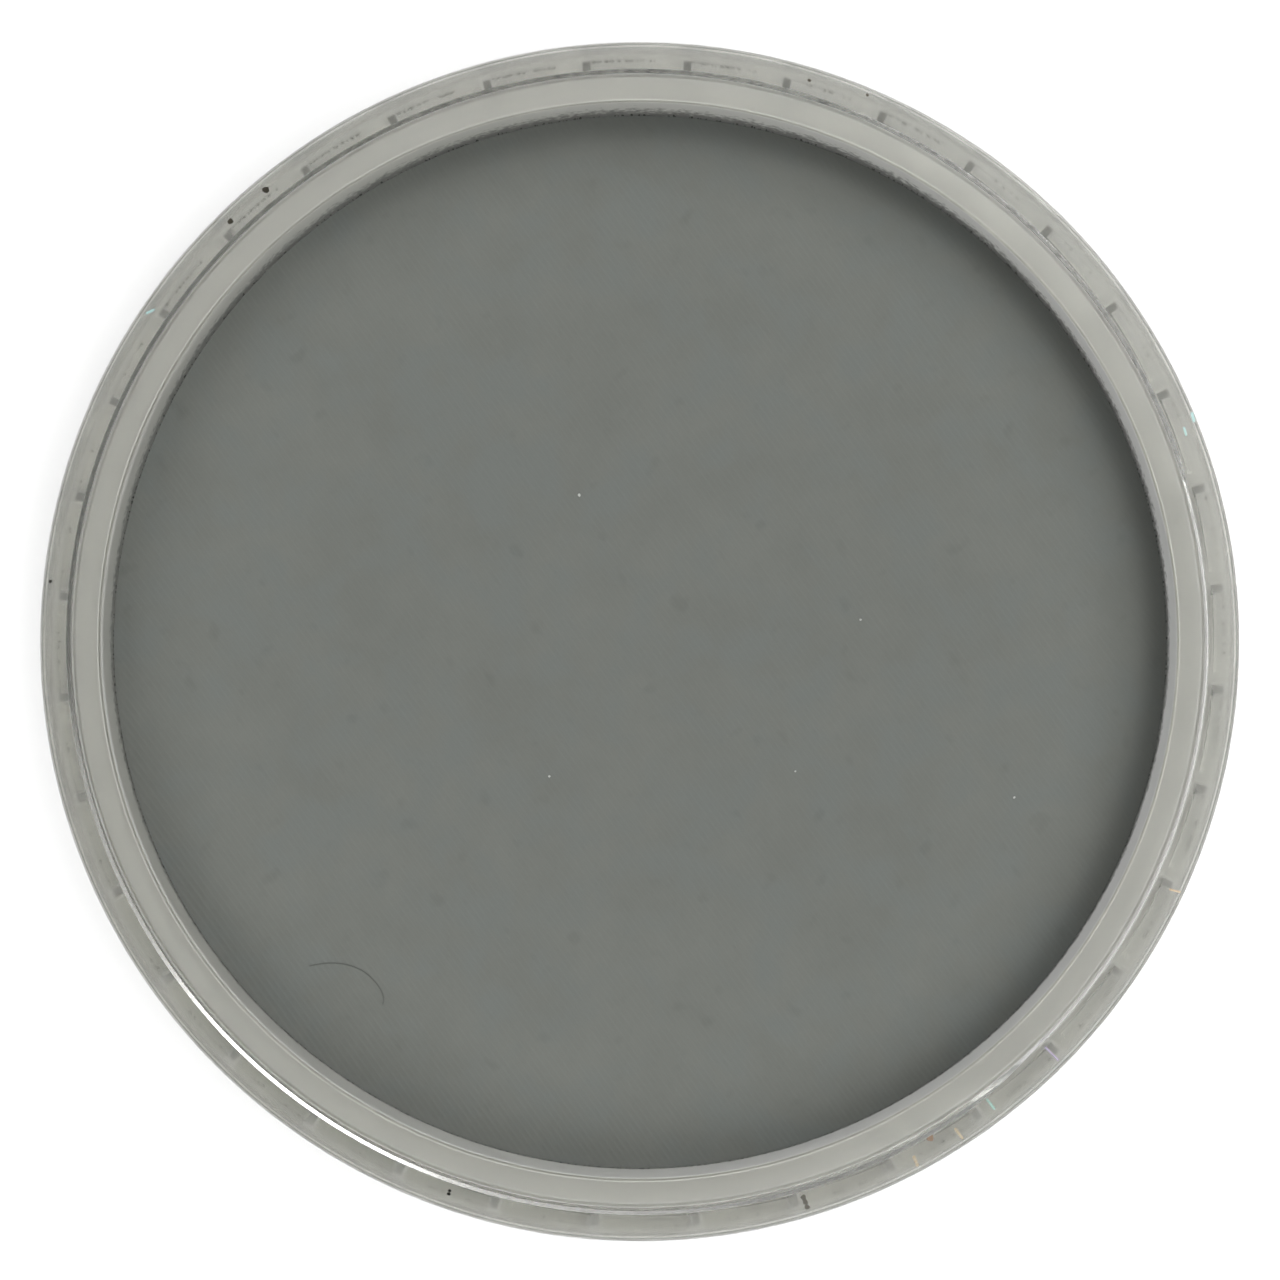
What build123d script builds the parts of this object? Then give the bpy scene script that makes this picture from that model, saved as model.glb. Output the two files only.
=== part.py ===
"""A stackable pan of pressed pastel colour: clear screw jar, cake of colour and base label.

Millimetres, +Z up, origin at the middle of the circle that the jar stands on.
The neck of one jar screws into the skirt of the next, so a stack closes itself.
"""

import os
from math import cos, radians, sin

from build123d import *

os.makedirs("parts", exist_ok=True)

# Driving dimensions
BASE_RADIUS = 31.0          # outside of the skirt, where it stands
SHOULDER_RADIUS = 30.9      # outside of the skirt at the top, after its mould draft
SHOULDER_HEIGHT = 12.0      # also the pitch of a stack of jars
NECK_HEIGHT = 4.0
NECK_RADIUS = 28.9
NECK_WALL = 1.5
BOWL_DRAFT = 0.25           # the bowl is this much narrower in radius at its floor
RECESS_DEPTH = 5.0          # hollow under the floor that takes the neck of the jar below
FLOOR_THICKNESS = 1.2
SKIRT_BORE_RADIUS = 29.5
CAKE_THICKNESS = 3.8        # 9 ml of colour
CAKE_LIP_WIDTH = 0.6        # edge of the cake, raised by the pressing die
CAKE_LIP_HEIGHT = 0.25
LABEL_RADIUS = 26.0
LABEL_THICKNESS = 0.15
LABEL_SEAT_RADIUS = 26.5    # shallow seat in the underside of the floor
LABEL_SEAT_DEPTH = 0.2

# Screw thread: one shallow ridge on the neck, and one of the same size in the skirt
THREAD_DEPTH = 0.44
THREAD_ROOT_WIDTH = 1.1
THREAD_CREST_WIDTH = 0.45
THREAD_BITE = 0.1           # how far the ridge is sunk into its wall
THREAD_PITCH = 2.0
THREAD_TURN = 315.0         # degrees that the ridge covers
THREAD_START_ANGLE = 5.0    # its lower end, from +X
THREAD_LIFT = 1.02          # its lower end above the shoulder or the base, at mid width

# Ring of ratchet teeth in the standing rim, which stop the jar turning on its mould core
TOOTH_COUNT = 36
TOOTH_DEPTH = 0.7
TOOTH_INNER_RADIUS = 29.95
TOOTH_OUTER_RADIUS = 30.6
TOOTH_FACE = 0.4            # run of the steep face
TOOTH_LAND = 0.6            # flat between one tooth and the next
FIRST_TOOTH_ANGLE = 85.0    # deepest line of the first tooth, from +X
TOOL_MARGIN = 1.0           # how far the cutting wedge stands past the ring, each side

# Edges
RIM_OUTER_FILLET = 0.3
RIM_INNER_FILLET = 0.2
SHOULDER_FILLET = 0.3
NECK_ROOT_FILLET = 0.45
BASE_FILLET = 0.12

# Worked out from the above
total_height = SHOULDER_HEIGHT + NECK_HEIGHT
rim_bore_radius = NECK_RADIUS - NECK_WALL
bowl_floor = RECESS_DEPTH + FLOOR_THICKNESS
label_seat = RECESS_DEPTH + LABEL_SEAT_DEPTH
bowl_floor_radius = rim_bore_radius - BOWL_DRAFT
cake_top = bowl_floor + CAKE_THICKNESS
lip_top = cake_top + CAKE_LIP_HEIGHT
thread_rise = THREAD_PITCH * THREAD_TURN / 360
thread_flank = (THREAD_ROOT_WIDTH - THREAD_CREST_WIDTH) / 2
tooth_middle_radius = (TOOTH_INNER_RADIUS + TOOTH_OUTER_RADIUS) / 2
tooth_pitch = radians(360 / TOOTH_COUNT) * tooth_middle_radius
tooth_ramp = tooth_pitch - TOOTH_FACE - TOOTH_LAND


def bowl_radius(height):
    """The radius of the drafted bowl wall at this height."""
    return bowl_floor_radius + BOWL_DRAFT * (height - bowl_floor) / (total_height - bowl_floor)


def round_edges(part, height):
    """The circular edges of the part at this height, from the smallest to the largest."""
    circles = part.edges().filter_by(GeomType.CIRCLE)
    return circles.filter_by_position(Axis.Z, height, height).sort_by(SortBy.RADIUS)


def thread_ridge(wall_radius, outward, height):
    """One helical ridge on a wall, with its crest outside the wall (+1) or inside it (-1)."""
    root_radius = wall_radius - outward * THREAD_BITE
    crest_radius = wall_radius + outward * THREAD_DEPTH
    root_half = THREAD_ROOT_WIDTH / 2 + thread_flank * THREAD_BITE / THREAD_DEPTH
    crest_half = THREAD_CREST_WIDTH / 2
    x_dir = (cos(radians(THREAD_START_ANGLE)), sin(radians(THREAD_START_ANGLE)), 0)
    start = Plane(origin=(0, 0, height), x_dir=x_dir, z_dir=(0, 0, 1))
    section = Plane(origin=start.origin, x_dir=start.x_dir, z_dir=-start.y_dir)
    with BuildPart() as ridge:
        with BuildLine(start) as path:
            Helix(THREAD_PITCH, thread_rise, wall_radius)
        with BuildSketch(section):
            with BuildLine():
                Polyline(
                    (root_radius, -root_half),
                    (crest_radius, -crest_half),
                    (crest_radius, crest_half),
                    (root_radius, root_half),
                    close=True,
                )
            make_face()
        sweep(path=path.line, is_frenet=True)
    return ridge.part


# Tooth pocket: a wedge with a steep face and a long ramp, bent to the ring by its two walls
with BuildPart() as tooth_pocket:
    with BuildSketch(Plane.XZ.offset(-TOOTH_OUTER_RADIUS - TOOL_MARGIN)):
        with BuildLine():
            Polyline(
                (-TOOTH_FACE, 0),
                (0, TOOTH_DEPTH),
                (tooth_ramp, 0),
                close=True,
            )
        make_face()
    extrude(amount=TOOTH_OUTER_RADIUS - TOOTH_INNER_RADIUS + 2 * TOOL_MARGIN)
    with BuildSketch(Plane.XY):
        Circle(TOOTH_OUTER_RADIUS)
        Circle(TOOTH_INNER_RADIUS, mode=Mode.SUBTRACT)
    extrude(amount=TOOTH_DEPTH, mode=Mode.INTERSECT)

# Jar: one moulding of bowl, neck, shoulder and skirt, turned about Z
with BuildPart() as jar:
    with BuildSketch(Plane.XZ):
        with BuildLine():
            Polyline(
                (0, label_seat),
                (LABEL_SEAT_RADIUS, label_seat),
                (LABEL_SEAT_RADIUS, RECESS_DEPTH),
                (SKIRT_BORE_RADIUS, RECESS_DEPTH),
                (SKIRT_BORE_RADIUS, 0),
                (BASE_RADIUS, 0),
                (SHOULDER_RADIUS, SHOULDER_HEIGHT),
                (NECK_RADIUS, SHOULDER_HEIGHT),
                (NECK_RADIUS, total_height),
                (rim_bore_radius, total_height),
                (bowl_floor_radius, bowl_floor),
                (0, bowl_floor),
                close=True,
            )
        make_face()
    revolve(axis=Axis.Z)

    fillet(round_edges(jar, total_height)[-1], RIM_OUTER_FILLET)
    fillet(round_edges(jar, total_height)[0], RIM_INNER_FILLET)
    fillet(round_edges(jar, SHOULDER_HEIGHT)[-1], SHOULDER_FILLET)
    fillet(round_edges(jar, SHOULDER_HEIGHT)[0], NECK_ROOT_FILLET)
    fillet(round_edges(jar, 0)[-1], BASE_FILLET)

    add(thread_ridge(NECK_RADIUS, 1, SHOULDER_HEIGHT + THREAD_LIFT))
    add(thread_ridge(SKIRT_BORE_RADIUS, -1, THREAD_LIFT))
    with PolarLocations(0, TOOTH_COUNT, start_angle=FIRST_TOOTH_ANGLE - 90):
        add(tooth_pocket.part, mode=Mode.SUBTRACT)
jar.part.label = "jar"
export_step(jar.part, "parts/jar.step")

# Cake of pressed colour: fills the bowl to its drafted wall, with a low lip round its edge
with BuildPart() as colour_cake:
    with BuildSketch(Plane.XZ):
        with BuildLine():
            Polyline(
                (0, bowl_floor),
                (bowl_floor_radius, bowl_floor),
                (bowl_radius(lip_top), lip_top),
                (bowl_radius(lip_top) - CAKE_LIP_WIDTH / 2, lip_top),
                (bowl_radius(cake_top) - CAKE_LIP_WIDTH, cake_top),
                (0, cake_top),
                close=True,
            )
        make_face()
    revolve(axis=Axis.Z)
colour_cake.part.label = "colour_cake"
export_step(colour_cake.part, "parts/colour_cake.step")

# Base label: a blank paper disc stuck in its seat in the underside of the bowl's floor
with BuildPart() as base_label:
    with BuildSketch(Plane.XY.offset(label_seat - LABEL_THICKNESS)):
        Circle(LABEL_RADIUS)
    extrude(amount=LABEL_THICKNESS)
base_label.part.label = "base_label"
export_step(base_label.part, "parts/base_label.step")
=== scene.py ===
"""The looks of a stackable pan of pressed pastel colour, laid out as a Blender add-on.

Run as a script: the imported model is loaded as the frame, each operator makes one piece round it,
and the stage operator adds the floor, the lights and the camera.
"""

import math
import random

import bmesh
import bpy
from mathutils import Matrix, Vector, noise


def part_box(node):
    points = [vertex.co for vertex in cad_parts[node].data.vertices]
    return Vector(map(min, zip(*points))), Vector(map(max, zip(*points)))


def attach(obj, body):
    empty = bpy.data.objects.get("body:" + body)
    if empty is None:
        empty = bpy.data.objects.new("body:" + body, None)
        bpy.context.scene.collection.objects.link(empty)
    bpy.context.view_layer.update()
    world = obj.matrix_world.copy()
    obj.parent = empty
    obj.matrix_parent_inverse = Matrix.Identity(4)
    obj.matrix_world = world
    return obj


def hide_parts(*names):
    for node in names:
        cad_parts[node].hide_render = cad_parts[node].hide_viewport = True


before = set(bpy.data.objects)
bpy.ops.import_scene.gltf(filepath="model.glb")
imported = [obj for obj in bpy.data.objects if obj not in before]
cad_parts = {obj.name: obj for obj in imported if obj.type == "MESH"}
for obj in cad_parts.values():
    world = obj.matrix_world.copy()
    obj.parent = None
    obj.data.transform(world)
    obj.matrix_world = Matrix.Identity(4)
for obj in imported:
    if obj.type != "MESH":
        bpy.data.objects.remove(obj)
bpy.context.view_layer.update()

bl_info = {
    "name": "Pastel pan",
    "version": (1, 0, 0),
    "blender": (4, 5, 0),
    "location": "View3D > Sidebar > Pastel pan",
    "description": "Makes a clear screw jar with a cake of pressed pastel colour",
    "category": "Add Mesh",
}

MM = 0.001
JAR_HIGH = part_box("jar")[1]
CAKE_LOW, CAKE_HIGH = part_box("colour_cake")
LABEL_LOW, LABEL_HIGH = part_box("base_label")


# ---------------------------------------------------------------- settings

def size(name, description, millimetres):
    """A length that the user can change, given here in millimetres."""
    return bpy.props.FloatProperty(
        name=name,
        description=description,
        default=millimetres * MM,
        min=0,
        precision=5,
        unit="LENGTH",
        subtype="DISTANCE",
    )


def linear(code):
    """The scene-linear colour of an sRGB hex code such as #8A8C86."""
    channels = [int(code[i:i + 2], 16) / 255 for i in (1, 3, 5)]
    return [c / 12.92 if c <= 0.04045 else ((c + 0.055) / 1.055) ** 2.4 for c in channels]


def colour(name, description, code):
    """A colour that the user can change, given here as an sRGB hex code."""
    return bpy.props.FloatVectorProperty(
        name=name,
        description=description,
        default=linear(code),
        min=0,
        max=1,
        size=3,
        subtype="COLOR",
    )


class JarSettings(bpy.types.PropertyGroup):
    """Sizes of the clear jar."""

    shoulder_radius: size("Shoulder radius", "Outside of the skirt at its top", 30.9)
    shoulder_height: size("Shoulder height", "Height of the flat ring round the neck", 12.0)
    neck_radius: size("Neck radius", "Outside of the neck, between the threads", 28.9)
    neck_wall: size("Neck wall", "Thickness of the neck at the rim", 1.5)
    bowl_draft: size("Bowl draft", "How much narrower the bowl is at its floor", 0.25)
    recess_depth: size("Recess depth", "Hollow under the floor", 5.0)
    label_seat: size("Label seat", "Depth of the label's seat in the floor", 0.2)
    label_seat_radius: size("Label seat radius", "Radius of the label's seat", 26.5)
    skirt_bore: size("Skirt bore", "Inside radius of the skirt", 29.5)
    plastic: colour("Plastic", "What white light turns to in thick plastic", "#E6E6DC")
    film_and_shade: colour("Film", "What the film of rubbed pastel does to white", "#D6D6CF")
    absorption: bpy.props.FloatProperty(
        name="Absorption", description="How fast thick plastic takes up light, for each metre",
        default=57.0, min=0)


class ThreadSettings(bpy.types.PropertyGroup):
    """Sizes of the two thread ridges."""

    depth: size("Depth", "Height of the ridge", 0.44)
    root_width: size("Root width", "Width of the ridge at its wall", 1.1)
    crest_width: size("Crest width", "Width of the ridge at its top", 0.45)
    pitch: size("Pitch", "Rise in one full turn", 2.0)
    lift: size("Lift", "Height of the ridge's lower end above its ledge", 1.02)
    turn: bpy.props.FloatProperty(
        name="Turn", description="Angle that the ridge covers",
        default=math.radians(315), subtype="ANGLE")
    start: bpy.props.FloatProperty(
        name="Start", description="Angle of the ridge's lower end from +X",
        default=math.radians(5), subtype="ANGLE")
    run_out: bpy.props.FloatProperty(
        name="Run-out", description="Angle over which each end of the ridge fades",
        default=math.radians(16), subtype="ANGLE")


class ToothSettings(bpy.types.PropertyGroup):
    """Sizes of the ratchet teeth in the standing rim."""

    count: bpy.props.IntProperty(name="Count", description="Teeth in the ring", default=36)
    depth: size("Depth", "Depth of each pocket at its steep face", 0.7)
    inner_radius: size("Inner radius", "Inner wall of the pockets", 29.95)
    outer_radius: size("Outer radius", "Outer wall of the pockets", 30.6)
    face: size("Face", "Run of the steep face", 0.4)
    land: size("Land", "Flat between two pockets", 0.6)
    draft: size("Draft", "How far a pocket's walls lean in at its deepest", 0.08)
    first: bpy.props.FloatProperty(
        name="First", description="Angle of the first pocket's deepest line from +X",
        default=math.radians(85), subtype="ANGLE")


class CakeSettings(bpy.types.PropertyGroup):
    """Sizes and colours of the pressed cake."""

    lip_width: size("Lip width", "Width of the raised edge", 0.6)
    # Width of the painted shade on the cake along the wall.
    edge_shade_width: size("Packed width", "How far in from the wall the cake is darker", 1.6)
    lip_height: size("Lip height", "Height of the raised edge", 0.25)
    weave: size("Weave", "Spacing of the lines left by the pressing cloth", 0.3)
    pigment: colour("Pigment", "Main colour of the cake", "#5D5F5B")
    pigment_dark: colour("Dark pigment", "Colour of the denser patches", "#5A5C58")
    pigment_cool: colour("Cool pigment", "Colour of the cooler patches", "#5B5E5B")
    # This colour serves the random dark spots and the painted shade along the wall.
    spot_and_shade_pigment: colour("Packed pigment", "Colour where the cake is packed hardest", "#383A37")
    chalk: colour("Chalk", "Colour of the stray pale grains", "#9EA09C")


class DustSettings(bpy.types.PropertyGroup):
    """Loose colour on the plastic and on the cake."""

    smears: bpy.props.IntProperty(
        name="Smears", description="Smears of dust on the bowl wall above the cake", default=600)
    smear_width: size("Smear width", "Width of a smear on the bowl wall", 0.13)
    smear_height: size("Smear height", "Height of the tallest smears", 0.7)
    crumb: size("Crumb", "Size of the crumbs caught in the ratchet teeth", 0.13)
    crumb_tries: bpy.props.IntProperty(
        name="Crumb tries", description="Places round the teeth where a crumb may lie", default=2600)
    dark: colour("Dark dust", "Colour of the dust on the wall", "#4A4B48")
    brown: colour("Brown dust", "Colour of the crumbs in the teeth", "#423C33")
    lint: colour("Lint", "Colour of the fibre on the cake", "#515350")
    fibre: size("Fibre", "Radius of the fibre on the cake", 0.022)


class LabelSettings(bpy.types.PropertyGroup):
    """Ring and colours of the base label."""

    ring_radius: size("Ring radius", "Radius of the plain printed ring", 21.0)
    ring_half: size("Ring half width", "Half of the printed ring's width", 1.0)
    paper: colour("Paper", "Colour of the label", "#F1F0EC")
    print_ink: colour("Print", "Colour of the plain printed ring", "#7C7F79")


class StageSettings(bpy.types.PropertyGroup):
    """Camera."""

    camera_height: size("Camera height", "Height of the camera above the floor", 366.0)
    camera_offset: size("Camera offset", "How far the camera is off the axis", 4.6)
    camera_aim: size("Camera aim", "How far off the axis the camera aims, each way", 0.05)
    view_width: size("View width", "What the camera takes in at the shoulder", 65.91)


GROUPS = {
    "jar": JarSettings,
    "thread": ThreadSettings,
    "tooth": ToothSettings,
    "cake": CakeSettings,
    "dust": DustSettings,
    "label": LabelSettings,
    "stage": StageSettings,
}


def settings(name):
    """One of the scene's groups of settings."""
    return getattr(bpy.context.scene, "pastel_pan_" + name)


# ---------------------------------------------------------------- mesh making

def smoothstep(x):
    """0 below 0, 1 above 1, and a smooth rise between."""
    x = min(max(x, 0.0), 1.0)
    return x * x * (3 - 2 * x)


def rounded(corners, step=math.radians(6)):
    """The corners (radius, height, fillet) joined by straight lines, with each corner rounded."""
    points = []
    for i, (radius, height, fillet) in enumerate(corners):
        here = Vector((radius, height))
        if fillet == 0:
            points.append(here)
            continue
        back = (Vector(corners[i - 1][:2]) - here).normalized()
        ahead = (Vector(corners[i + 1][:2]) - here).normalized()
        half = back.angle(ahead) / 2
        centre = here + (back + ahead).normalized() * fillet / math.sin(half)
        spoke = here + back * fillet / math.tan(half) - centre
        turn = math.pi - 2 * half
        side = 1 if back.x * ahead.y - back.y * ahead.x < 0 else -1
        steps = max(3, math.ceil(turn / step))
        for k in range(steps + 1):
            a = side * turn * k / steps
            c, s = math.cos(a), math.sin(a)
            points.append(centre + Vector((c * spoke.x - s * spoke.y, s * spoke.x + c * spoke.y)))
    return points


def turned_mesh(name, angles, section):
    """A closed mesh turned about Z, whose section (radius, height) may differ at each angle."""
    bm = bmesh.new()
    columns = []
    for angle in angles:
        c, s = math.cos(angle), math.sin(angle)
        columns.append([bm.verts.new((r * c, r * s, z)) for r, z in section(angle)])
    for k, column in enumerate(columns):
        following = columns[(k + 1) % len(columns)]
        for i in range(len(column) - 1):
            bm.faces.new((column[i], following[i], following[i + 1], column[i + 1]))
    bmesh.ops.remove_doubles(bm, verts=bm.verts, dist=MM * 1e-4)
    bmesh.ops.recalc_face_normals(bm, faces=bm.faces)
    mesh = bpy.data.meshes.new(name)
    bm.to_mesh(mesh)
    bm.free()
    return mesh


def mark(mesh, name, amount):
    """Stores a number on every point of a mesh: amount(radius, angle, height) gives it."""
    attribute = mesh.attributes.new(name, "FLOAT", "POINT")
    for vertex, item in zip(mesh.vertices, attribute.data):
        x, y, z = vertex.co
        item.value = amount(math.hypot(x, y), math.atan2(y, x), z)


def add_piece(name, mesh, material, node=None, sharp=math.radians(30)):
    """Links a mesh as a piece that rides with the pan, and replaces a node of the frame."""
    mesh.shade_smooth()
    mesh.set_sharp_from_angle(angle=sharp)
    mesh.materials.append(material)
    piece = bpy.data.objects.new(name, mesh)
    bpy.context.scene.collection.objects.link(piece)
    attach(piece, "root")
    if node:
        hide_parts(node)
    return piece


# ---------------------------------------------------------------- materials

def repeats(millimetres):
    """The scale of a texture whose features are about this far apart."""
    return 1 / (millimetres * MM)


def new_material(name):
    """An empty node material and its tree, with an output and a Principled shader."""
    material = bpy.data.materials.new(name)
    material.use_nodes = True
    tree = material.node_tree
    tree.nodes.clear()
    shader = add_node(tree, "ShaderNodeBsdfPrincipled")
    add_node(tree, "ShaderNodeOutputMaterial", links={"Surface": shader.outputs["BSDF"]})
    return material, tree, shader


def add_node(tree, kind, values=None, links=None, **options):
    """Adds a node, sets its options and its sockets' values, and links its inputs."""
    node = tree.nodes.new(kind)
    for option, value in options.items():
        setattr(node, option, value)
    for socket, value in (values or {}).items():
        node.inputs[socket].default_value = value
    for socket, output in (links or {}).items():
        tree.links.new(output, node.inputs[socket])
    return node


def set_values(shader, **values):
    """Sets a shader's own sockets, with underscores in the names for spaces."""
    for socket, value in values.items():
        shader.inputs[socket.replace("_", " ")].default_value = value


def clear_polystyrene():
    """Clear general-purpose polystyrene, injection moulded in a polished mould.

    It bends light strongly, and thick parts turn it slightly warm and grey. Where pastel has rubbed
    it, it is hazed and greyed, and loose dust darkens it in grains ("dust"). On the bowl wall and in
    the ratchet teeth the haze and the grey also carry painted light and shade, which change with the
    compass bearing.
    """
    jar = settings("jar")
    material, tree, shader = new_material("clear_polystyrene")
    set_values(shader, IOR=1.59)
    wear_and_light = add_node(tree, "ShaderNodeAttribute", attribute_name="wear_and_light")
    haze = add_node(tree, "ShaderNodeMapRange", {"To Min": 0.02, "To Max": 0.55},
                    {"Value": wear_and_light.outputs["Fac"]})
    tree.links.new(haze.outputs["Result"], shader.inputs["Roughness"])
    # Where the haze is high the plastic turns matt and shows its base colour; on the bowl wall and
    # the steep faces this is painted light.
    matt_share = add_node(tree, "ShaderNodeMapRange",
                     {"From Min": 0.5, "From Max": 1.0, "To Min": 1.0, "To Max": 0.3},
                     {"Value": wear_and_light.outputs["Fac"]})
    tree.links.new(matt_share.outputs["Result"], shader.inputs["Transmission Weight"])
    # Painted shade: besides the real film on the rim, the grey darkens the bowl wall and the pockets
    # by compass bearing.
    film_and_shade = add_node(tree, "ShaderNodeAttribute", attribute_name="film_and_shade")
    filmed_and_shaded = add_node(tree, "ShaderNodeMix", data_type="RGBA")
    filmed_and_shaded.inputs["A"].default_value = (1, 1, 1, 1)
    filmed_and_shaded.inputs["B"].default_value = (*jar.film_and_shade, 1)
    tree.links.new(film_and_shade.outputs["Fac"], filmed_and_shaded.inputs["Factor"])
    dust = add_node(tree, "ShaderNodeAttribute", attribute_name="dust")
    place = add_node(tree, "ShaderNodeTexCoord").outputs["Object"]
    drawn = add_node(tree, "ShaderNodeVectorMath", {1: (1, 1, 0.5)}, {0: place},
                     operation="MULTIPLY")
    grains = add_node(tree, "ShaderNodeTexNoise", {"Scale": repeats(0.286), "Detail": 3.0},
                      {"Vector": drawn.outputs["Vector"]})
    ragged = add_node(tree, "ShaderNodeMath",
                      links={0: dust.outputs["Fac"], 1: grains.outputs["Fac"]})
    smudge = add_node(tree, "ShaderNodeMapRange",
                      {"From Min": 0.85, "From Max": 1.35, "To Min": 0.0, "To Max": 0.9},
                      {"Value": ragged.outputs["Value"]}, interpolation_type="SMOOTHSTEP")
    dusted = add_node(tree, "ShaderNodeMix", data_type="RGBA")
    dusted.inputs["B"].default_value = (*settings("dust").dark, 1)
    tree.links.new(smudge.outputs["Result"], dusted.inputs["Factor"])
    tree.links.new(filmed_and_shaded.outputs["Result"], dusted.inputs["A"])
    tree.links.new(dusted.outputs["Result"], shader.inputs["Base Color"])
    output = next(n for n in tree.nodes if n.type == "OUTPUT_MATERIAL")
    absorption = add_node(tree, "ShaderNodeVolumeAbsorption", {
        "Color": (*jar.plastic, 1),
        "Density": jar.absorption,
    })
    tree.links.new(absorption.outputs["Volume"], output.inputs["Volume"])
    return material


def pressed_pastel():
    """Pigment and chalk pressed dry: dead matt, mottled, with the imprint of the pressing cloth."""
    material, tree, shader = new_material("pressed_pastel")
    cake = settings("cake")
    set_values(shader, Roughness=1.0, Specular_IOR_Level=0.15, Sheen_Weight=0.1, Sheen_Roughness=0.6)
    place = add_node(tree, "ShaderNodeTexCoord").outputs["Object"]
    patches = add_node(tree, "ShaderNodeTexNoise",
                       {"Scale": repeats(3.85), "Detail": 5.0, "Roughness": 0.6}, {"Vector": place})
    grain = add_node(tree, "ShaderNodeTexNoise", {"Scale": repeats(0.111), "Detail": 2.0},
                     {"Vector": place})
    blend = add_node(tree, "ShaderNodeMapRange", {"From Min": 0.35, "From Max": 0.65},
                     {"Value": patches.outputs["Fac"]})
    base = add_node(tree, "ShaderNodeMix", data_type="RGBA")
    base.inputs["A"].default_value = (*cake.pigment, 1)
    base.inputs["B"].default_value = (*cake.pigment_dark, 1)
    tree.links.new(blend.outputs["Result"], base.inputs["Factor"])
    spots = add_node(tree, "ShaderNodeTexNoise", {"Scale": repeats(1.43), "Detail": 1.0},
                     {"Vector": place})
    dark_spots = add_node(tree, "ShaderNodeMapRange",
                          {"From Min": 0.66, "From Max": 0.78, "To Min": 0.0, "To Max": 0.12},
                          {"Value": spots.outputs["Fac"]})
    tints = add_node(tree, "ShaderNodeTexNoise", {"Scale": repeats(2.38), "Detail": 2.0, "W": 3.0},
                     {"Vector": place}, noise_dimensions="4D")
    cool = add_node(tree, "ShaderNodeMapRange", {"From Min": 0.45, "From Max": 0.65},
                    {"Value": tints.outputs["Fac"]})
    cooled = add_node(tree, "ShaderNodeMix", data_type="RGBA")
    cooled.inputs["B"].default_value = (*cake.pigment_cool, 1)
    tree.links.new(cool.outputs["Result"], cooled.inputs["Factor"])
    tree.links.new(base.outputs["Result"], cooled.inputs["A"])
    spotted = add_node(tree, "ShaderNodeMix", data_type="RGBA")
    spotted.inputs["B"].default_value = (*cake.spot_and_shade_pigment, 1)
    tree.links.new(dark_spots.outputs["Result"], spotted.inputs["Factor"])
    tree.links.new(cooled.outputs["Result"], spotted.inputs["A"])
    # Painted shade: the cake darkens towards the wall, most in the north-east.
    edge = add_node(tree, "ShaderNodeAttribute", attribute_name="edge_shade")
    edge_shade = add_node(tree, "ShaderNodeMix", data_type="RGBA")
    edge_shade.inputs["B"].default_value = (*cake.spot_and_shade_pigment, 1)
    tree.links.new(edge.outputs["Fac"], edge_shade.inputs["Factor"])
    tree.links.new(spotted.outputs["Result"], edge_shade.inputs["A"])
    tree.links.new(edge_shade.outputs["Result"], shader.inputs["Base Color"])
    turned = add_node(tree, "ShaderNodeMapping", {"Rotation": (0, 0, math.radians(-36))},
                      {"Vector": place})
    # A wave texture of scale 1 has its lines pi / 10 apart.
    lines = add_node(tree, "ShaderNodeTexWave",
                     {"Scale": math.pi / 10 / cake.weave, "Distortion": 0.0},
                     {"Vector": turned.outputs["Vector"]})
    breaks = add_node(tree, "ShaderNodeTexNoise", {"Scale": repeats(0.4), "Detail": 2.0},
                      {"Vector": place})
    broken = add_node(tree, "ShaderNodeMath",
                      links={0: lines.outputs["Fac"], 1: breaks.outputs["Fac"]},
                      operation="MULTIPLY")
    weave = add_node(tree, "ShaderNodeBump", {"Strength": 0.8, "Distance": 0.04 * MM},
                     {"Height": broken.outputs["Value"]})
    rough = add_node(tree, "ShaderNodeBump", {"Strength": 0.3, "Distance": 0.01 * MM},
                     {"Height": grain.outputs["Fac"], "Normal": weave.outputs["Normal"]})
    tree.links.new(rough.outputs["Normal"], shader.inputs["Normal"])
    return material


def pastel_dust(name, pigment):
    """Loose pigment dust, a crumb of dry pastel or lint full of it: dead matt, of one colour."""
    material, tree, shader = new_material(name)
    set_values(shader, Roughness=1.0, Specular_IOR_Level=0.1, Base_Color=(*pigment, 1))
    return material


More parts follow.
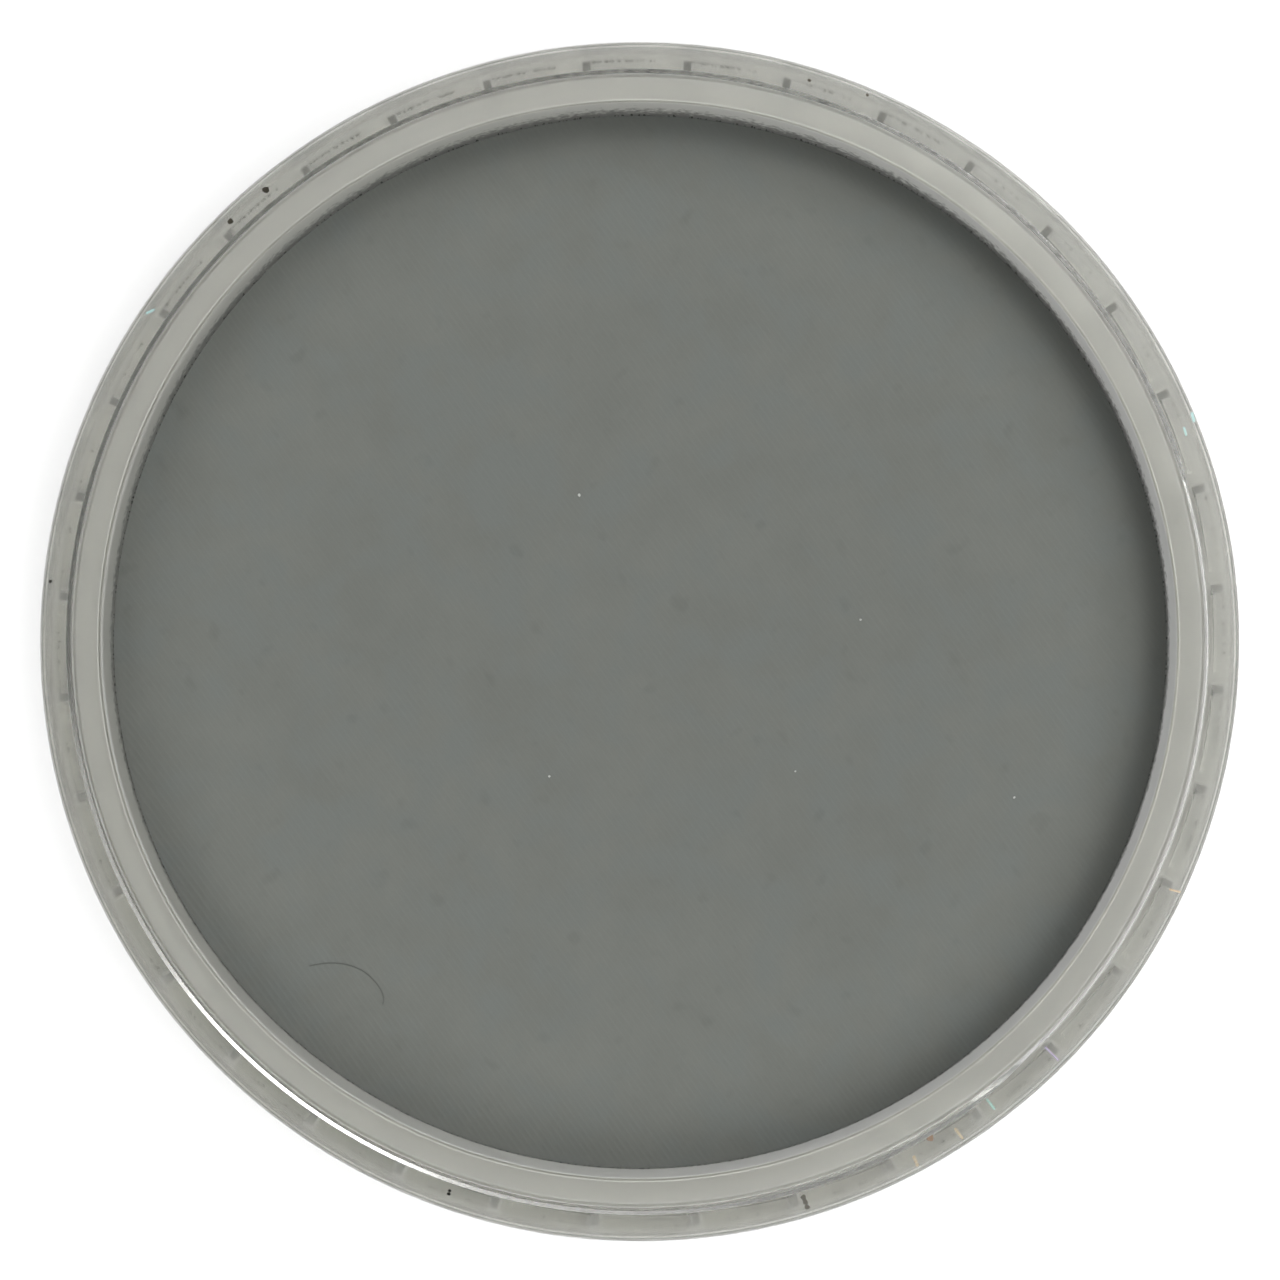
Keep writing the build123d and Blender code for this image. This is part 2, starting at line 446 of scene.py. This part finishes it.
def label_paper():
    """Uncoated label paper with a plain printed ring: matt, with a faint fibre."""
    material, tree, shader = new_material("label_paper")
    label = settings("label")
    set_values(shader, Roughness=0.85, Specular_IOR_Level=0.3)
    place = add_node(tree, "ShaderNodeTexCoord").outputs["Object"]
    fibre = add_node(tree, "ShaderNodeTexNoise", {"Scale": repeats(0.333), "Detail": 4.0},
                     {"Vector": place})
    flat = add_node(tree, "ShaderNodeVectorMath", {1: (1, 1, 0)}, {0: place}, operation="MULTIPLY")
    radius = add_node(tree, "ShaderNodeVectorMath", links={0: flat.outputs["Vector"]},
                      operation="LENGTH")
    ring = add_node(tree, "ShaderNodeMath", {1: label.ring_radius, 2: label.ring_half},
                    {0: radius.outputs["Value"]}, operation="COMPARE")
    base = add_node(tree, "ShaderNodeMix", data_type="RGBA")
    base.inputs["A"].default_value = (*label.paper, 1)
    base.inputs["B"].default_value = (*label.print_ink, 1)
    tree.links.new(ring.outputs["Value"], base.inputs["Factor"])
    tree.links.new(base.outputs["Result"], shader.inputs["Base Color"])
    bump = add_node(tree, "ShaderNodeBump", {"Strength": 0.2, "Distance": 0.02 * MM},
                    {"Height": fibre.outputs["Fac"]})
    tree.links.new(bump.outputs["Normal"], shader.inputs["Normal"])
    return material


def studio_white():
    """Matt white board, as a studio table is covered with."""
    material, tree, shader = new_material("studio_white")
    set_values(shader, Roughness=0.9, Specular_IOR_Level=0.1, Base_Color=(*linear("#FCFCFC"), 1))
    return material


# ---------------------------------------------------------------- jar

# Fillets of the jar's section
SEAT_FILLET = 0.06 * MM
RECESS_FILLET = 0.2 * MM
BASE_FILLET = 0.12 * MM
SHOULDER_FILLET = 0.3 * MM
NECK_ROOT_FILLET = 0.4 * MM
RIM_OUTER_FILLET = 0.299 * MM   # a little less than RIM_BAND, so that no two points coincide
RIM_INNER_FILLET = 0.2 * MM

# Stretches of the neck's and the skirt's walls that the thread ridges leave free
RIM_BAND = 0.3 * MM             # below the rim
NECK_ROOT_BAND = 0.45 * MM      # above the shoulder
RECESS_BAND = 0.5 * MM          # below the recess's ceiling

# Haze of the plastic in each zone, from 0 where it is clear to 1 where it is ground matt
RIM_WEAR = 0.5
NECK_WEAR = 0.12
POCKET_WEAR = 0.1
SHOULDER_EDGE_WEAR = 0.4
ZONE_MARGIN = 0.05 * MM         # how far a zone reaches past the edge that it belongs to

RAMP_STEPS = 14                 # columns of the mesh on a tooth's ramp


def tooth_pitch():
    """Angle from one ratchet pocket to the next, and of its steep face and its land."""
    tooth = settings("tooth")
    middle = (tooth.inner_radius + tooth.outer_radius) / 2
    return 2 * math.pi / tooth.count, tooth.face / middle, tooth.land / middle


def tooth_columns():
    """Angles of the mesh's columns, so that each tooth's edges fall on one."""
    tooth = settings("tooth")
    pitch, face, land = tooth_pitch()
    ramp_end = pitch - face - land
    places = [ramp_end * k / RAMP_STEPS for k in range(RAMP_STEPS)]
    places += [ramp_end, ramp_end + land / 2, pitch - face, pitch - face / 2]
    return sorted(
        (tooth.first - n * pitch - place) % (2 * math.pi)
        for n in range(tooth.count)
        for place in places
    )


def tooth_depth(angle):
    """Depth of the ratchet pocket at this angle: a ramp, a land and a steep face."""
    tooth = settings("tooth")
    pitch, face, land = tooth_pitch()
    past = (tooth.first - angle) % pitch
    ramp = 1 - past / (pitch - face - land)
    steep = (past - (pitch - face)) / face
    return tooth.depth * min(max(ramp, steep, 0), 1)


def facing(angle, bearing):
    """1 where an angle from +X points to a compass bearing, -1 opposite, and 0 across."""
    return math.cos(math.radians(90 - bearing) - angle)


def on_bowl_wall(radius, height):
    """Whether a point is on the inside wall of the bowl."""
    jar = settings("jar")
    return height > CAKE_LOW.z and radius < jar.neck_radius - jar.neck_wall + 0.02 * MM


def in_tooth(radius, height):
    """Whether a point is on a wall or the ceiling of a ratchet pocket."""
    tooth = settings("tooth")
    between = tooth.inner_radius - 0.01 * MM < radius < tooth.outer_radius + 0.01 * MM
    return between and height < tooth.depth + 0.01 * MM


def on_steep_face(angle):
    """Whether an angle falls on the steep face of a ratchet tooth."""
    tooth = settings("tooth")
    pitch = tooth_pitch()[0]
    slack = 0.001
    past = (tooth.first - angle + slack) % pitch
    return past > pitch - (tooth.face + ZONE_MARGIN) / tooth.inner_radius or past < 2 * slack


def jar_wear_and_light(radius, angle, height):
    """How hazed the plastic is: most on the bowl wall, which the pastel rubs against. On the bowl
    wall and on the teeth's steep faces it also carries painted light, which changes with the compass
    bearing.
    """
    jar = settings("jar")
    if on_bowl_wall(radius, height):
        # Painted light: the wall turns more matt, and so paler, towards the east-north-east.
        return min(0.87 + 0.16 * facing(angle, 65), 1)
    if height > JAR_HIGH.z - RIM_BAND - ZONE_MARGIN:
        return RIM_WEAR
    if height > jar.shoulder_height + NECK_ROOT_FILLET / 2:
        return NECK_WEAR
    if in_tooth(radius, height):
        # Painted light: the steep faces turn more matt, and so paler, towards the south-south-west.
        return 0.88 + 0.12 * facing(angle, 200) if on_steep_face(angle) else POCKET_WEAR
    if radius > jar.shoulder_radius - SHOULDER_FILLET - ZONE_MARGIN:
        return SHOULDER_EDGE_WEAR
    return 0


def jar_film_and_shade(radius, angle, height):
    """How much of a thin grey film of rubbed pastel is on the plastic. On the rim it is film; on the
    bowl wall and in the pockets it is painted shade, which changes with the compass bearing.
    """
    if on_bowl_wall(radius, height):
        # Painted shade: the wall is greyer towards the west-north-west.
        return 0.6 - 0.6 * facing(angle, 110)
    if height > JAR_HIGH.z - RIM_BAND - ZONE_MARGIN:
        return 1
    if in_tooth(radius, height) and not on_steep_face(angle):
        # Painted shade: the pockets are greyer towards the south-west.
        return 0.35 + 0.35 * facing(angle, 215)
    return 0


def jar_dust(radius, angle, height):
    """How much loose dust clings to the bowl wall: it fades upwards from the cake."""
    if not on_bowl_wall(radius, height):
        return 0
    reach = (3.2 + 2.6 * facing(angle, 5)) * MM
    return min(max(1 - (height - CAKE_HIGH.z) / reach, 0), 1)


def soft_ramp(x, soften=0.07):
    """A straight rise from 0 to 1 with both of its corners rounded."""
    if x < soften:
        return max(x + soften, 0) ** 2 / (4 * soften)
    if x > 1 - soften:
        return 1 - max(1 - x + soften, 0) ** 2 / (4 * soften)
    return x


def ridge_wall(radius, outward, ledge, low, high, angle):
    """Points up a round wall, over its thread ridge, at this angle."""
    thread = settings("thread")
    around = (angle - thread.start) % (2 * math.pi)
    rise = thread.pitch * thread.turn / (2 * math.pi)
    if around <= thread.turn:
        middle = ledge + thread.lift + rise * around / thread.turn
        fade = smoothstep(around / thread.run_out)
        fade *= smoothstep((thread.turn - around) / thread.run_out)
    else:
        left = (2 * math.pi - around) / (2 * math.pi - thread.turn)
        middle = ledge + thread.lift + rise * left
        fade = 0
    flank = (thread.root_width - thread.crest_width) / 2
    # Places up a flank, close together at its rounded root and its rounded crest
    share = [-0.07, -0.035, 0, 0.035, 0.07, 0.1, 0.5, 0.9, 0.93, 0.965, 1, 1.035, 1.07]
    below = [(-thread.root_width / 2 + flank * x, soft_ramp(x)) for x in share]
    ridge = below + [(-across, lift) for across, lift in reversed(below)]
    first, last = middle + ridge[0][0], middle + ridge[-1][0]
    points = [(radius, low + (first - low) * k / 4) for k in range(4)]
    points += [(radius + outward * thread.depth * lift * fade, middle + across)
               for across, lift in ridge]
    points += [(radius, last + (high - last) * k / 4) for k in range(1, 5)]
    return points


class PASTELPAN_OT_mould_jar(bpy.types.Operator):
    """Mould the clear jar: bowl, threaded neck, shoulder, skirt and ratchet teeth"""

    bl_idname = "pastel_pan.mould_jar"
    bl_label = "Mould jar"

    def execute(self, context):
        jar, tooth = settings("jar"), settings("tooth")
        top = JAR_HIGH.z
        bore = jar.neck_radius - jar.neck_wall
        seat = jar.recess_depth + jar.label_seat
        under = rounded([
            (0, seat, 0),
            (jar.label_seat_radius, seat, SEAT_FILLET),
            (jar.label_seat_radius, jar.recess_depth, SEAT_FILLET),
            (jar.skirt_bore, jar.recess_depth, RECESS_FILLET),
            (jar.skirt_bore, jar.recess_depth - RECESS_BAND, 0),
        ])
        outside = rounded([
            (tooth.outer_radius, 0, 0),
            (JAR_HIGH.x, 0, BASE_FILLET),
            (jar.shoulder_radius, jar.shoulder_height, SHOULDER_FILLET),
            (jar.neck_radius, jar.shoulder_height, NECK_ROOT_FILLET),
            (jar.neck_radius, jar.shoulder_height + NECK_ROOT_BAND, 0),
        ])[1:]
        wall_heights = [z * MM for z in (15, 14, 13, 12, 11)]
        inside = rounded([
            (jar.neck_radius, top - RIM_BAND, 0),
            (jar.neck_radius, top, RIM_OUTER_FILLET),
            (bore, top, RIM_INNER_FILLET),
            *((bowl_radius(z), z, 0) for z in (*wall_heights, CAKE_HIGH.z)),
            (bowl_radius(CAKE_LOW.z), CAKE_LOW.z, 0),
            (0, CAKE_LOW.z, 0),
        ])[1:]

        def section(angle):
            depth = tooth_depth(angle)
            lean = tooth.draft * depth / tooth.depth
            points = [p[:] for p in under]
            points += reversed(
                ridge_wall(jar.skirt_bore, -1, 0, 0, jar.recess_depth - RECESS_BAND, angle))
            points += [
                (tooth.inner_radius, 0),
                (tooth.inner_radius + lean, depth),
                (tooth.outer_radius - lean, depth),
                (tooth.outer_radius, 0),
            ]
            points += [p[:] for p in outside]
            points += ridge_wall(jar.neck_radius, 1, jar.shoulder_height,
                                 jar.shoulder_height + NECK_ROOT_BAND, top - RIM_BAND, angle)
            points += [p[:] for p in inside]
            return points

        mesh = turned_mesh("jar_clear", tooth_columns(), section)
        mark(mesh, "wear_and_light", jar_wear_and_light)
        mark(mesh, "film_and_shade", jar_film_and_shade)
        mark(mesh, "dust", jar_dust)
        add_piece("jar_clear", mesh, clear_polystyrene(), "jar")
        return {"FINISHED"}


# ---------------------------------------------------------------- cake

CAKE_GAP = 0.02 * MM            # between the cake and the bowl
CAKE_COLUMNS = 720


def bowl_radius(height):
    """Inside radius of the bowl at this height."""
    jar = settings("jar")
    share = (height - CAKE_LOW.z) / (JAR_HIGH.z - CAKE_LOW.z)
    return jar.neck_radius - jar.neck_wall - jar.bowl_draft * (1 - share)


def cake_height(radius, angle, wall):
    """Height of the pressed surface: nearly flat, with a ragged low lip against the wall."""
    cake = settings("cake")
    flat = CAKE_HIGH.z - cake.lip_height
    at = Vector((radius * math.cos(angle), radius * math.sin(angle), 0))
    dish = 0.03 * MM * noise.noise(at / (9 * MM))
    ragged = noise.noise(at / (1.3 * MM)) * 0.5 + noise.noise(at / (0.4 * MM)) * 0.25
    near = max(1 - (wall - radius) / (cake.lip_width * (1 + 0.25 * ragged)), 0)
    broad = max(1 - (wall - radius) / (3 * cake.lip_width), 0)
    lip = cake.lip_height * (0.6 * near ** 2 + 0.4 * broad ** 2) * (1 + 0.15 * ragged)
    return min(flat + dish + lip, CAKE_HIGH.z)


def cake_edge_shade(radius, angle, height):
    """Painted shade on the cake's edge: darker near the wall, and most in the north-east."""
    full = bowl_radius(CAKE_HIGH.z) - 0.15 * MM
    near = smoothstep(1 - (full - radius) / settings("cake").edge_shade_width)
    return near * max(0.24 + 0.45 * facing(angle, 55), 0)


class PASTELPAN_OT_press_cake(bpy.types.Operator):
    """Press the cake of colour into the bowl"""

    bl_idname = "pastel_pan.press_cake"
    bl_label = "Press cake"

    def execute(self, context):
        foot = bowl_radius(CAKE_LOW.z) - CAKE_GAP
        wall = bowl_radius(CAKE_HIGH.z) - CAKE_GAP
        radii = [wall * k / 60 for k in range(59)]
        radii += [wall - 1.0 * MM * (1 - k / 16) for k in range(17)]
        radii = sorted(set(round(r, 8) for r in radii))

        def section(angle):
            top = [(r, cake_height(r, angle, wall)) for r in radii]
            side = [(foot, CAKE_LOW.z + CAKE_GAP), (0, CAKE_LOW.z + CAKE_GAP)]
            return top + side

        angles = [2 * math.pi * k / CAKE_COLUMNS for k in range(CAKE_COLUMNS)]
        mesh = turned_mesh("pastel_cake", angles, section)
        # Painted shade on the cake along the wall.
        mark(mesh, "edge_shade", cake_edge_shade)
        add_piece("pastel_cake", mesh, pressed_pastel(), "colour_cake")
        return {"FINISHED"}


# ---------------------------------------------------------------- dust

# Stray flecks on the shoulder: compass bearing, radius, length and width in millimetres, how far
# the length is turned from the radius, and the colour.
FLECKS = (
    (199, 30.0, 0.32, 0.12, 0, "#1E1E1D"),
    (163.5, 30.1, 0.8, 0.16, 5, "#5E5C56"),
    (149.6, 29.6, 0.35, 0.22, 0, "#877464"),
    (147, 30.2, 0.7, 0.1, 4, "#ADA18C"),
    (152, 30.3, 0.6, 0.12, -6, "#A89C88"),
    (142.8, 29.9, 0.7, 0.09, 0, "#93B0A8"),
    (135, 30.0, 1.0, 0.07, 0, "#A69CB2"),
    (304, 30.4, 0.5, 0.08, 60, "#9DBCBB"),
    (320.4, 30.2, 0.3, 0.22, 30, "#38352F"),
    (315.8, 30.2, 0.26, 0.2, 0, "#3A3730"),
    (275.8, 30.5, 0.16, 0.12, 0, "#2C2B28"),
    (16.9, 30.2, 0.14, 0.12, 0, "#57524A"),
    (22.7, 30.5, 0.14, 0.1, 0, "#57524A"),
    (68, 30.75, 0.5, 0.1, 80, "#A2BFBD"),
    (69, 30.1, 0.45, 0.08, 85, "#A8C4C1"),
    (115, 30.4, 0.6, 0.07, 10, "#BBA88F"),
)

# Pale grains on the cake: compass bearing, radius and size in millimetres.
GRAINS = (
    (337.6, 8.2, 0.2),
    (84.4, 11.5, 0.17),
    (213.8, 8.4, 0.16),
    (129.8, 10.5, 0.15),
    (112.6, 21.0, 0.17),
)

# Where a fine fibre lies on the cake, in millimetres.
FIBRE = (
    (-17.1, -16.8),
    (-16.2, -16.6),
    (-15.2, -16.65),
    (-14.0, -17.1),
    (-13.1, -18.3),
    (-13.3, -18.8),
)
SMEAR_THICKNESS = 0.016 * MM
SMEAR_GAP = 0.004 * MM          # between a smear and the wall


def compass(bearing, radius, height):
    """The point at this compass bearing (degrees clockwise from +Y), radius and height."""
    b = math.radians(bearing)
    return Vector((radius * math.sin(b), radius * math.cos(b), height))


def add_crumb(bm, at, sizes, turn, chance):
    """Adds an uneven crumb: a coarse ball, stretched to its three sizes and turned about Z."""
    made = bmesh.ops.create_icosphere(bm, subdivisions=1, radius=0.5)["verts"]
    spin = Matrix.Rotation(turn, 3, "Z")
    for vertex in made:
        uneven = 1 - 0.35 * chance.random()
        vertex.co = at + spin @ Vector(uneven * c * s for c, s in zip(vertex.co, sizes))


def finished_mesh(bm, name):
    """Turns an edit mesh into a mesh with its faces all outwards."""
    bmesh.ops.recalc_face_normals(bm, faces=bm.faces)
    mesh = bpy.data.meshes.new(name)
    bm.to_mesh(mesh)
    bm.free()
    return mesh


def dustiness(bearing):
    """How high the smears reach on the wall at a compass bearing: most in the north-east."""
    return 0.65 + 0.35 * math.cos(math.radians(bearing - 20))


class PASTELPAN_OT_smear_wall(bpy.types.Operator):
    """Leave smears of dust on the bowl wall, just above the cake"""

    bl_idname = "pastel_pan.smear_wall"
    bl_label = "Smear wall"

    def execute(self, context):
        dust = settings("dust")
        chance = random.Random(11)
        bm = bmesh.new()
        foot = CAKE_HIGH.z - 0.25 * MM
        for _ in range(dust.smears):
            bearing = chance.uniform(0, 360)
            high = dustiness(bearing)
            tall = dust.smear_height * high * chance.random() ** (3.5 - 2 * high)
            top = CAKE_HIGH.z + 0.1 * MM + tall
            half = math.degrees(dust.smear_width * chance.uniform(0.4, 1.0) / 2 / bowl_radius(foot))
            lean = half * chance.uniform(-0.8, 0.8)
            rows = ((foot, half, 0), (top - tall / 3, half * 0.8, lean / 2), (top, half * 0.2, lean))
            rings = []
            for height, across, shift in rows:
                outer = bowl_radius(height) - SMEAR_GAP
                inner = outer - SMEAR_THICKNESS
                middle = bearing + shift
                rings.append([bm.verts.new(compass(middle + side * across, radius, height))
                              for side, radius in ((-1, outer), (1, outer), (1, inner), (-1, inner))])
            bm.faces.new(rings[0])
            bm.faces.new(rings[-1])
            for low, high in zip(rings, rings[1:]):
                for k in range(4):
                    bm.faces.new((low[k], low[(k + 1) % 4], high[(k + 1) % 4], high[k]))
        mesh = finished_mesh(bm, "wall_dust")
        add_piece("wall_dust", mesh, pastel_dust("wall_dust", dust.dark))
        return {"FINISHED"}


class PASTELPAN_OT_scatter_crumbs(bpy.types.Operator):
    """Catch crumbs in the ratchet teeth, and drop flecks, grains and a fibre on the pan"""

    bl_idname = "pastel_pan.scatter_crumbs"
    bl_label = "Scatter crumbs"

    def execute(self, context):
        self.fill_teeth()
        self.drop_flecks()
        self.drop_grains()
        self.lay_fibre()
        return {"FINISHED"}

    def fill_teeth(self):
        """A broken line of crumbs in the outer corner of the pockets, thickest in the north."""
        dust, tooth = settings("dust"), settings("tooth")
        chance = random.Random(23)
        bm = bmesh.new()
        for _ in range(dust.crumb_tries):
            bearing = chance.uniform(0, 360)
            depth = tooth_depth(math.radians(90 - bearing))
            north = max(math.cos(math.radians(bearing - 345)), 0) ** 3
            east = 0.45 * max(math.cos(math.radians(bearing - 122)), 0) ** 6
            if depth < 0.2 * tooth.depth or chance.random() > 0.12 + north + east:
                continue
            s = dust.crumb * chance.uniform(0.4, 1.0)
            radius = tooth.outer_radius - s * chance.uniform(0.6, 1.1)
            at = compass(bearing, radius, depth - 0.45 * s)
            add_crumb(bm, at, (s, s, 0.6 * s), chance.uniform(0, math.pi), chance)
        mesh = finished_mesh(bm, "tooth_dust")
        add_piece("tooth_dust", mesh, pastel_dust("tooth_dust", dust.brown))

    def drop_flecks(self):
        """Coloured flecks and short streaks on the flat shoulder."""
        chance = random.Random(5)
        for n, (bearing, radius, length, width, turned, code) in enumerate(FLECKS, 1):
            bm = bmesh.new()
            at = compass(bearing, radius * MM, settings("jar").shoulder_height + 0.012 * MM)
            turn = math.radians(90 - bearing + turned)
            steps = max(1, round(length / (1.5 * width)))
            for k in range(steps):
                shift = (k - (steps - 1) / 2) * length / steps * MM
                sizes = (1.5 * length / steps * MM, 2.2 * width * MM, 0.03 * MM)
                along = Vector((math.cos(turn), math.sin(turn), 0)) * shift
                add_crumb(bm, at + along, sizes, turn, chance)
            mesh = finished_mesh(bm, f"fleck_{n}")
            add_piece(f"fleck_{n}", mesh, pastel_dust(f"fleck_{n}", linear(code)))

    def drop_grains(self):
        """Stray pale grains on the cake."""
        chance = random.Random(7)
        bm = bmesh.new()
        for bearing, radius, grain in GRAINS:
            s = grain * MM
            height = CAKE_HIGH.z - settings("cake").lip_height
            at = compass(bearing, radius * MM, height + 0.2 * s)
            add_crumb(bm, at, (s, s, 0.6 * s), chance.uniform(0, math.pi), chance)
        mesh = finished_mesh(bm, "chalk_grains")
        add_piece("chalk_grains", mesh, pastel_dust("chalk_grains", settings("cake").chalk))

    def lay_fibre(self):
        """A fine dark fibre of lint that lies on the cake."""
        dust = settings("dust")
        curve = bpy.data.curves.new("lint_line", "CURVE")
        curve.dimensions = "3D"
        curve.bevel_depth = dust.fibre
        curve.use_fill_caps = True
        spline = curve.splines.new("NURBS")
        spline.points.add(len(FIBRE) - 1)
        height = CAKE_HIGH.z - settings("cake").lip_height + 0.03 * MM
        for point, (x, y) in zip(spline.points, FIBRE):
            point.co = (x * MM, y * MM, height, 1)
        spline.order_u = 4
        spline.use_endpoint_u = True
        line = bpy.data.objects.new("lint_line", curve)
        mesh = bpy.data.meshes.new_from_object(line)
        bpy.data.objects.remove(line)
        mesh.name = "lint_fibre"
        mesh.materials.clear()
        add_piece("lint_fibre", mesh, pastel_dust("lint_fibre", dust.lint))


# ---------------------------------------------------------------- label

class PASTELPAN_OT_stick_label(bpy.types.Operator):
    """Stick the blank paper label in its seat under the floor"""

    bl_idname = "pastel_pan.stick_label"
    bl_label = "Stick label"

    def execute(self, context):
        low, high = LABEL_LOW.z, LABEL_HIGH.z - 0.01 * MM
        outline = rounded([
            (0, low, 0),
            (LABEL_HIGH.x, low, 0.03 * MM),
            (LABEL_HIGH.x, high, 0.03 * MM),
            (0, high, 0),
        ])
        angles = [2 * math.pi * k / 360 for k in range(360)]
        mesh = turned_mesh("paper_label", angles, lambda angle: [p[:] for p in outline])
        add_piece("paper_label", mesh, label_paper(), "base_label")
        return {"FINISHED"}


# ---------------------------------------------------------------- stage

# Power of each soft box in the overhead ring, clockwise from +Y.
OVERHEAD_WATTS = (2.4, 3.3, 3.1, 3.6, 1.2, 1.9)
OVERHEAD_ELEVATION = 62
OVERHEAD_SIDE = 0.5

# The two low lights shine over the rim from the north-east and light up the thread across it. They
# stay low, where the thread's near side doesn't mirror them upwards.
LOW_BEARING = 35
LOW_ELEVATION = 8
LOW_DEPTH = 0.12
LOW_WATTS = 1.2

# The surroundings glow from above, and are nearly dark near the horizon.
WORLD_LIGHT = 0.45
HORIZON_LIGHT = 0.04

FLOOR_RADIUS = 3.0
FLOOR_GAP = 0.03 * MM           # keeps the floor clear of the standing rim


def add_light(name, bearing, elevation, distance, width, depth, watts):
    """A white soft box that faces the pan from this compass bearing and angle above the table."""
    light = bpy.data.lights.new(name, "AREA")
    light.shape = "RECTANGLE"
    light.size, light.size_y = width, depth
    light.energy = watts
    lamp = bpy.data.objects.new(name, light)
    b, e = math.radians(bearing), math.radians(elevation)
    towards = Vector((math.sin(b) * math.cos(e), math.cos(b) * math.cos(e), math.sin(e)))
    lamp.location = towards * distance
    lamp.rotation_mode = "QUATERNION"
    lamp.rotation_quaternion = towards.to_track_quat("Z", "Y")
    bpy.context.scene.collection.objects.link(lamp)


class PASTELPAN_OT_set_stage(bpy.types.Operator):
    """Set the pale floor, the soft lights and the camera"""

    bl_idname = "pastel_pan.set_stage"
    bl_label = "Set stage"

    def execute(self, context):
        scene = context.scene
        stage, jar = settings("stage"), settings("jar")
        bm = bmesh.new()
        bmesh.ops.create_circle(bm, cap_ends=True, radius=FLOOR_RADIUS, segments=96)
        mesh = bpy.data.meshes.new("floor")
        bm.to_mesh(mesh)
        bm.free()
        mesh.materials.append(studio_white())
        floor = bpy.data.objects.new("floor", mesh)
        floor.location.z = -FLOOR_GAP
        scene.collection.objects.link(floor)

        world = bpy.data.worlds.new("studio_walls")
        world.use_nodes = True
        tree = world.node_tree
        background = tree.nodes["Background"]
        background.inputs["Color"].default_value = (1, 1, 1, 1)
        way = add_node(tree, "ShaderNodeTexCoord").outputs["Generated"]
        parts = add_node(tree, "ShaderNodeSeparateXYZ", links={"Vector": way})
        heights = {"From Min": 0.4, "From Max": 0.75, "To Min": HORIZON_LIGHT, "To Max": WORLD_LIGHT}
        fade = add_node(tree, "ShaderNodeMapRange", heights, {"Value": parts.outputs["Z"]},
                        interpolation_type="SMOOTHSTEP")
        tree.links.new(fade.outputs["Result"], background.inputs["Strength"])
        scene.world = world
        scene.view_settings.view_transform = "Standard"

        for n, watts in enumerate(OVERHEAD_WATTS):
            add_light(f"overhead_box_{n + 1}", 360 / len(OVERHEAD_WATTS) * n, OVERHEAD_ELEVATION,
                      1.0, OVERHEAD_SIDE, OVERHEAD_SIDE, watts)
        add_light("low_box", LOW_BEARING, LOW_ELEVATION, 1.0, 0.46, LOW_DEPTH, LOW_WATTS)
        add_light("low_screen", LOW_BEARING, LOW_ELEVATION, 1.1, 2.2, LOW_DEPTH, LOW_WATTS)

        data = bpy.data.cameras.new("overhead_camera")
        camera = bpy.data.objects.new("overhead_camera", data)
        aim = Vector((stage.camera_aim, stage.camera_aim, jar.shoulder_height))
        camera.location = (stage.camera_offset, -stage.camera_offset, stage.camera_height)
        back = camera.location - aim
        data.sensor_width = 36
        data.lens = data.sensor_width * back.length / stage.view_width
        camera.rotation_mode = "QUATERNION"
        back.normalize()
        across = Vector((0, 1, 0)).cross(back).normalized()
        axes = Matrix((across, back.cross(across), back)).transposed()
        camera.rotation_quaternion = axes.to_quaternion()
        scene.collection.objects.link(camera)
        scene.camera = camera
        return {"FINISHED"}


# ---------------------------------------------------------------- panel and registration

STEPS = (
    PASTELPAN_OT_set_stage,
    PASTELPAN_OT_mould_jar,
    PASTELPAN_OT_press_cake,
    PASTELPAN_OT_smear_wall,
    PASTELPAN_OT_scatter_crumbs,
    PASTELPAN_OT_stick_label,
)


class PASTELPAN_PT_panel(bpy.types.Panel):
    """Lists the steps and their settings in the sidebar"""

    bl_idname = "PASTELPAN_PT_panel"
    bl_label = "Pastel pan"
    bl_space_type = "VIEW_3D"
    bl_region_type = "UI"
    bl_category = "Pastel pan"

    def draw(self, context):
        for step in STEPS:
            self.layout.operator(step.bl_idname)
        for name, group in GROUPS.items():
            box = self.layout.box()
            box.label(text=name.capitalize())
            for prop in group.__annotations__:
                box.prop(settings(name), prop)


CLASSES = (*GROUPS.values(), *STEPS, PASTELPAN_PT_panel)


def register():
    for cls in CLASSES:
        bpy.utils.register_class(cls)
    for name, group in GROUPS.items():
        setattr(bpy.types.Scene, "pastel_pan_" + name, bpy.props.PointerProperty(type=group))


def unregister():
    for name in GROUPS:
        delattr(bpy.types.Scene, "pastel_pan_" + name)
    for cls in reversed(CLASSES):
        bpy.utils.unregister_class(cls)


def main():
    """Makes every piece in order."""
    register()
    for step in STEPS:
        area, name = step.bl_idname.split(".")
        getattr(getattr(bpy.ops, area), name)()


if __name__ == "__main__":
    main()
